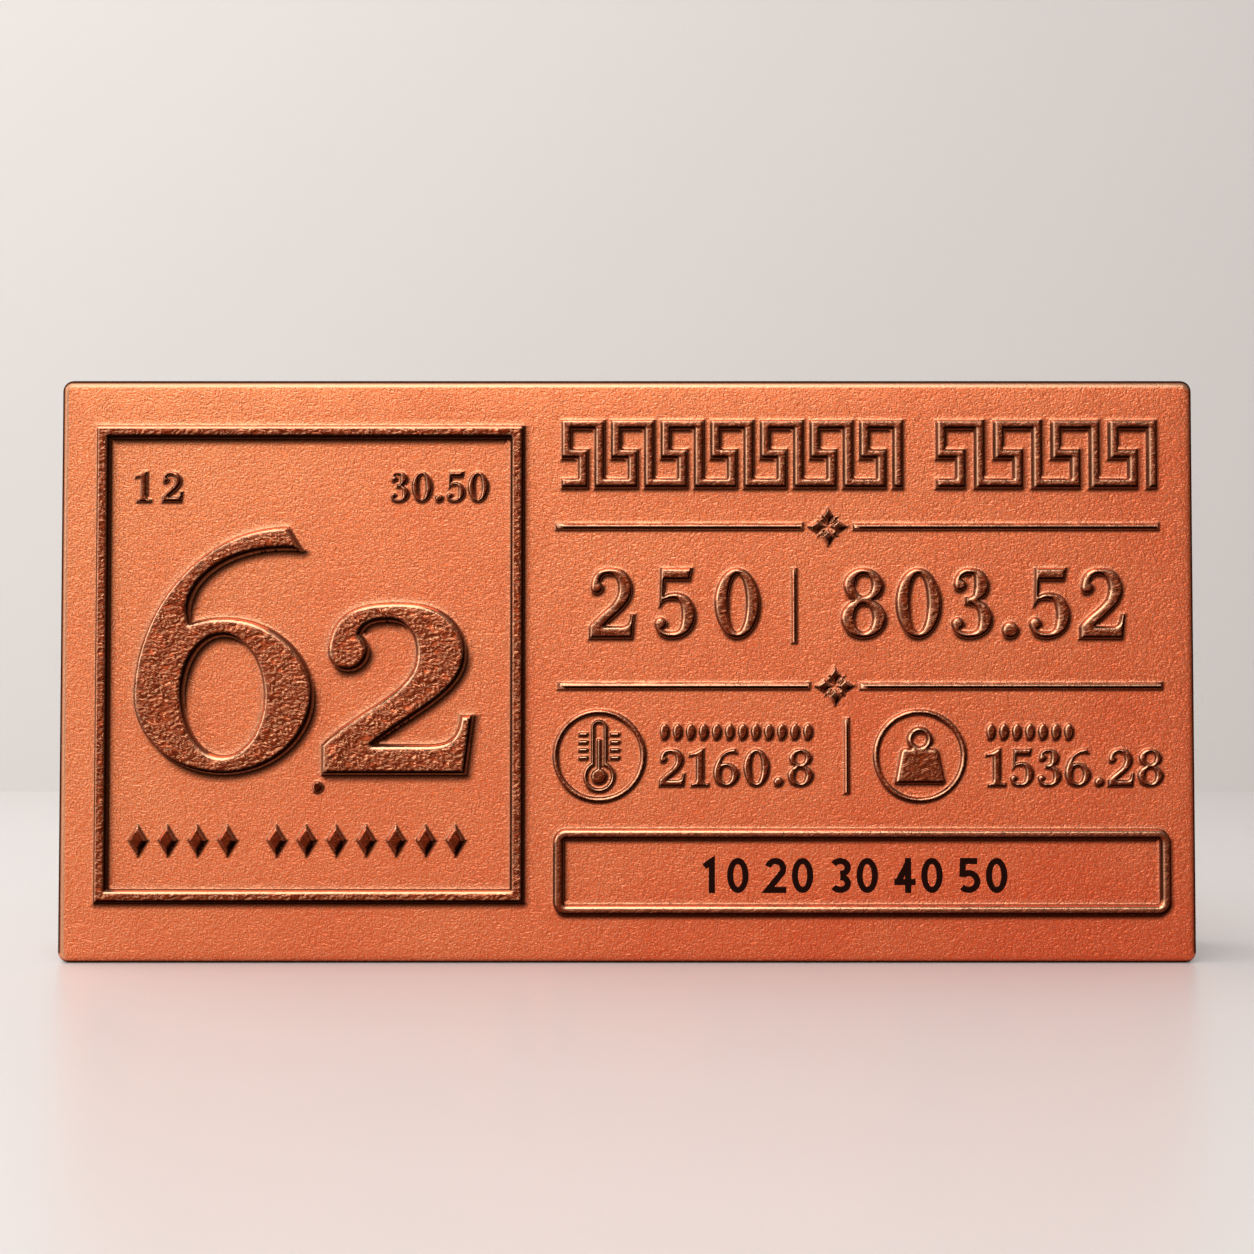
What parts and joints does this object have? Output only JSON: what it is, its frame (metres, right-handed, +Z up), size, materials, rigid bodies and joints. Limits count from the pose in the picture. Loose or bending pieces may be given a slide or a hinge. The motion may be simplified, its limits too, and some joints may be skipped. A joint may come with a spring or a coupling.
{
  "type": "copper ingot",
  "caption": "Struck copper ingot, a flat bar with rounded edges and a raised design on one face, that stands on its long edge.",
  "frame": {"origin": "middle of the long edge that the ingot stands on", "axes": "+X along the ingot's length, +Y from the struck face to the plain back, +Z up"},
  "size_m": [0.114, 0.0178, 0.0585],
  "materials": {
    "copper": "matte struck copper with hammered, darker relief"
  },
  "bodies": {
    "root": {"copper_ingot": "copper"}
  },
  "joints": []
}
